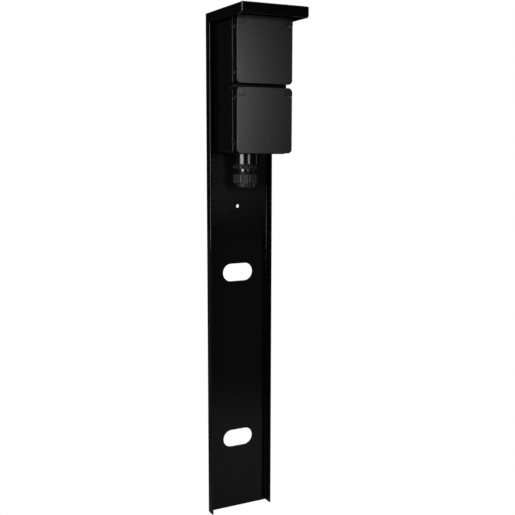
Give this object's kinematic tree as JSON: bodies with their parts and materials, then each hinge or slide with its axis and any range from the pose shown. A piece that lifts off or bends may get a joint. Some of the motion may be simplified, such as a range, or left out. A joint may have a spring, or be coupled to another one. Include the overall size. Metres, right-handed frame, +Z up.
{
  "type": "garden socket post",
  "caption": "Folded black sheet-metal post with a rain roof, carrying a double outdoor socket box with spring-closed hinged lids and a cable gland underneath.",
  "frame": {"origin": "centre of the lower edge of the post's flat rear mounting face", "axes": "+Z up along the post, +Y out of the rear face towards the wall or stake that carries it, so the lids face -Y, and +X to the right seen from the front"},
  "size_m": [0.08, 0.0953, 0.5916],
  "materials": {
    "powder_coat_black": "satin black powder coat",
    "zinc_steel": "zinc-plated",
    "box_plastic": "satin black moulded plastic",
    "frame_plastic": "satin black moulded plastic",
    "lid_plastic": "fine-textured dark grey moulded plastic",
    "insert_plastic": "satin dark grey moulded plastic",
    "carrier_ceramic": "matt off-white",
    "contact_brass": "bright",
    "clip_steel": "nickel-plated spring steel",
    "tinned_copper": "tinned",
    "wire_brown": "smooth insulation",
    "wire_blue": "smooth insulation",
    "wire_green_yellow": "smooth insulation with a yellow stripe",
    "black_rubber": "matt",
    "gland_plastic": "glossy black polyamide"
  },
  "bodies": {
    "post": {"post_body": "powder_coat_black", "weld_studs": "zinc_steel", "base_box": "box_plastic", "base_washers": "zinc_steel", "base_nuts": "zinc_steel", "bond_lug": "tinned_copper", "bond_wire": "wire_green_yellow", "cover_gasket": "black_rubber", "frame_upper": "frame_plastic", "frame_lower": "frame_plastic", "frame_screws": "zinc_steel", "insert_upper": "insert_plastic", "insert_lower": "insert_plastic", "insert_screws": "zinc_steel", "carrier_upper": "carrier_ceramic", "carrier_lower": "carrier_ceramic", "line_contacts_upper": "contact_brass", "line_contacts_lower": "contact_brass", "earth_clip_upper": "clip_steel", "earth_clip_lower": "clip_steel", "terminal_screws": "zinc_steel", "link_live": "wire_brown", "link_neutral": "wire_blue", "link_earth": "wire_green_yellow", "hinge_pin_upper": "zinc_steel", "hinge_pin_lower": "zinc_steel", "lid_spring_upper": "clip_steel", "lid_spring_lower": "clip_steel", "gland_washer": "black_rubber", "gland_body": "gland_plastic", "gland_locknut": "gland_plastic", "gland_seal": "black_rubber", "gland_claw": "gland_plastic", "gland_nut": "gland_plastic"},
    "upper_lid": {"lid_upper": "lid_plastic", "lid_seal_upper": "black_rubber"},
    "lower_lid": {"lid_lower": "lid_plastic", "lid_seal_lower": "black_rubber"}
  },
  "joints": [
    {"name": "upper_lid_hinge", "type": "hinge", "parent": "post", "child": "upper_lid", "pos_m": [0, -0.0666, 0.5774], "axis": [-1, 0, 0], "range_deg": [0, 82], "stiffness_Nm_per_rad": 0.02, "springref_deg": -40.11, "deforming": ["lid_spring_upper"]},
    {"name": "lower_lid_hinge", "type": "hinge", "parent": "post", "child": "lower_lid", "pos_m": [0, -0.0666, 0.5022], "axis": [-1, 0, 0], "range_deg": [0, 95], "stiffness_Nm_per_rad": 0.02, "springref_deg": -40.11, "deforming": ["lid_spring_lower"]}
  ]
}
